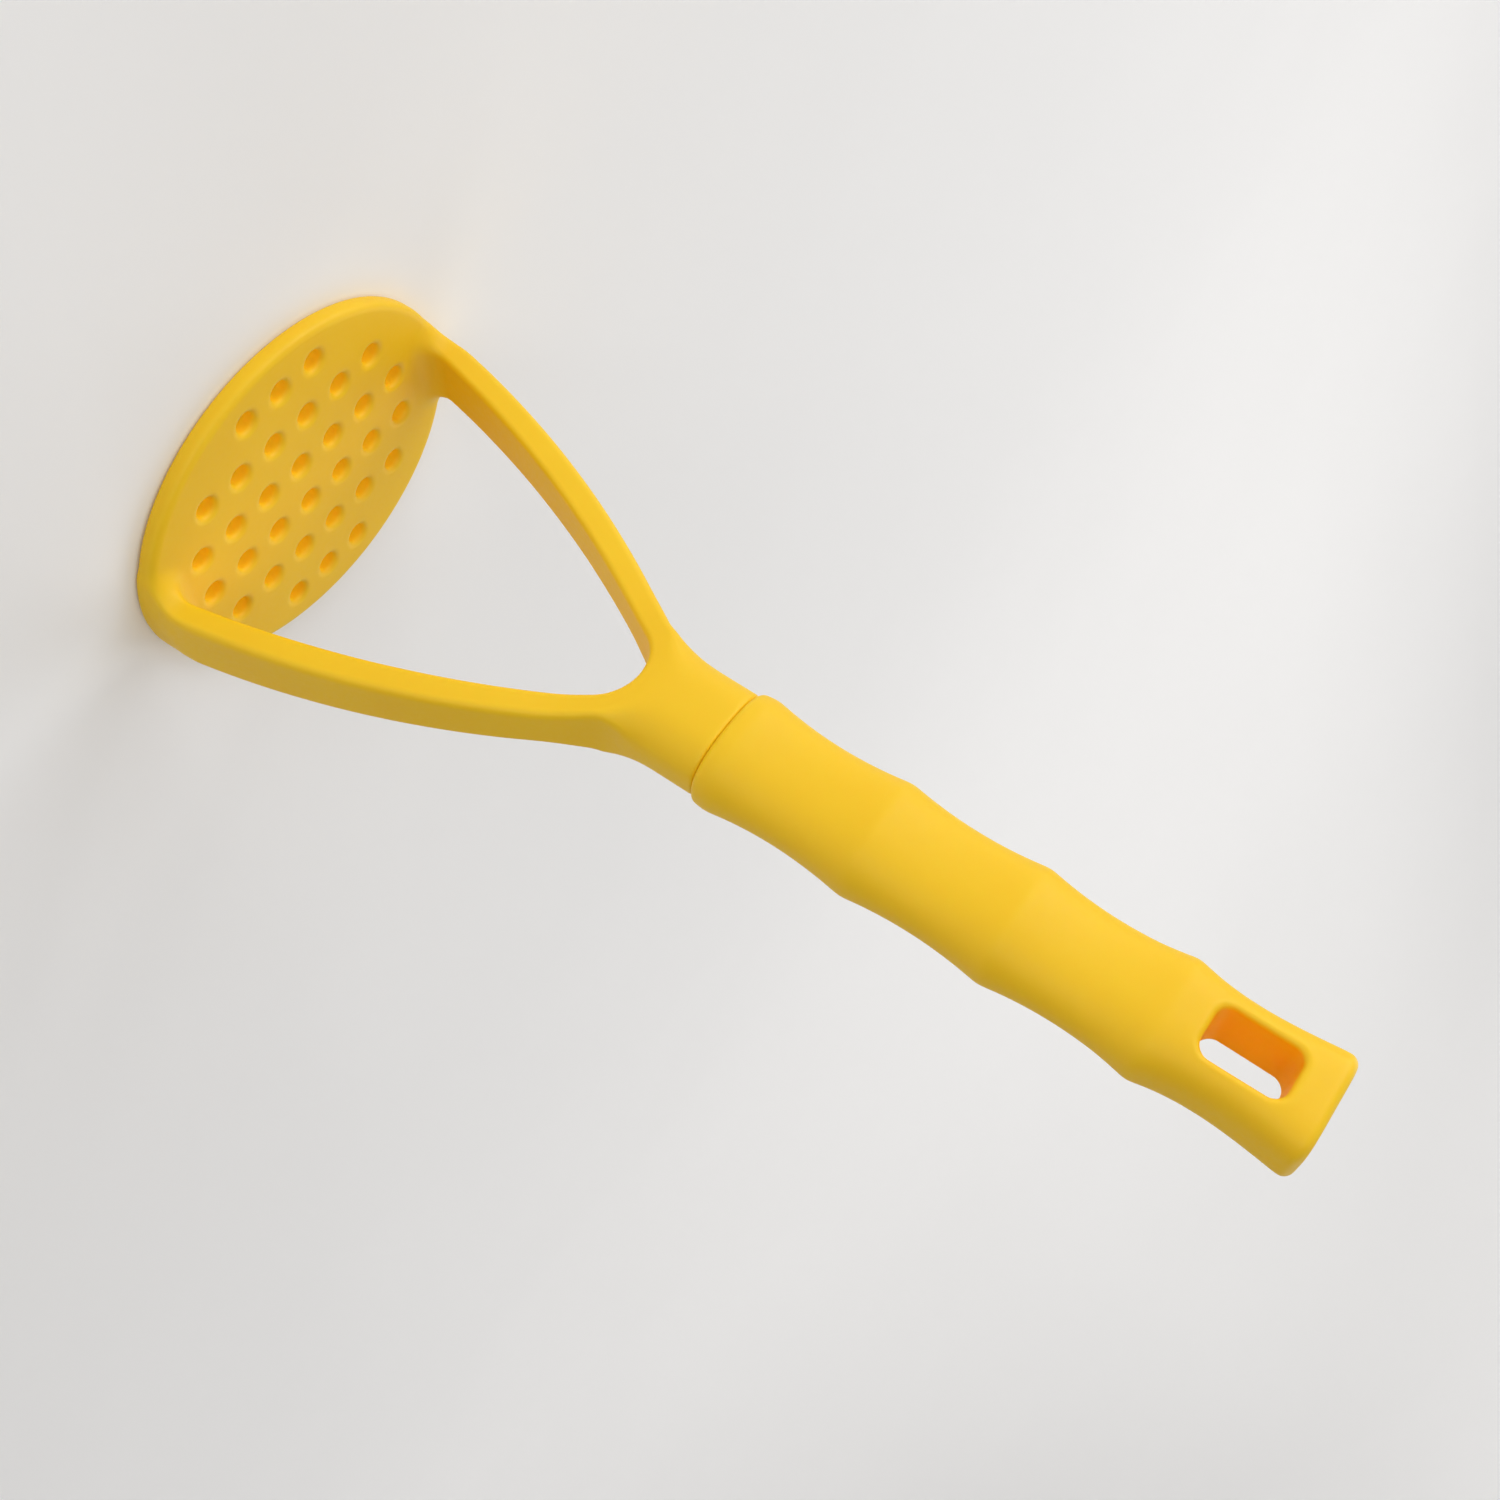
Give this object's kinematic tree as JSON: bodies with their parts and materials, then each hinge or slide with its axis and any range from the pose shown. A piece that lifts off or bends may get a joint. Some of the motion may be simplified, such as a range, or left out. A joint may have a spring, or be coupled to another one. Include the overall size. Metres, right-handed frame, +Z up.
{
  "type": "potato masher",
  "caption": "Hand potato masher: an oval perforated plate on two bowed arms that join in a short neck, with a ridged soft-grip handle that has a hanging slot at its end.",
  "frame": {"origin": "middle of the mashing plate's flat underside, with the masher standing on the plate", "axes": "+Z up the handle, +X along the plate's long axis and through both arms, -Y towards the front of the hanging slot"},
  "size_m": [0.0974, 0.0834, 0.2641],
  "materials": {
    "head_silicone": "satin moulded silicone, golden yellow",
    "head_nylon": "moulded nylon, ochre",
    "rod_steel": "drawn stainless steel",
    "handle_nylon": "moulded nylon, natural white",
    "grip_silicone": "satin moulded silicone, golden yellow"
  },
  "bodies": {
    "root": {"head_skin": "head_silicone", "head_core": "head_nylon", "steel_rod": "rod_steel", "handle_core": "handle_nylon", "handle_grip": "grip_silicone"}
  },
  "joints": []
}
